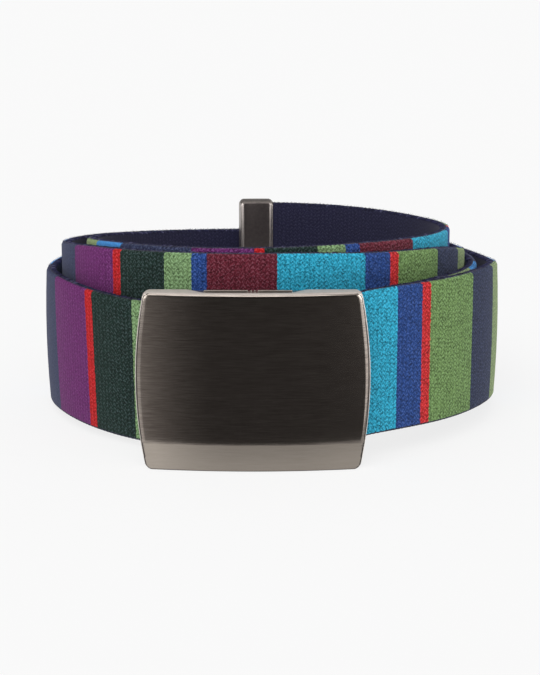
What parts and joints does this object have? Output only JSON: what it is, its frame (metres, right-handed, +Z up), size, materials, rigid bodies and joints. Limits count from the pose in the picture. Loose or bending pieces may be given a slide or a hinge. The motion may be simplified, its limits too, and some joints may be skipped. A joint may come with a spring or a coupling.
{
  "type": "elastic belt",
  "caption": "Coiled elastic web belt with a convex plate buckle and a metal tip, standing on its edge; the strap is striped outside and plain inside.",
  "frame": {"origin": "middle of the belt's box, on the surface that it stands on", "axes": "+X to the right across the buckle, +Y from the buckle towards the back of the coil, +Z up"},
  "size_m": [0.1258, 0.1228, 0.0532],
  "materials": {
    "webbing": "woven, matt",
    "gunmetal": "dark plating, brushed",
    "nickel": "satin plating"
  },
  "bodies": {
    "root": {"strap": "webbing", "buckle_plate": "gunmetal", "buckle_frame": "nickel", "clamp_bar": "nickel", "lock_roller": "nickel", "strap_tip": "gunmetal"}
  },
  "joints": []
}
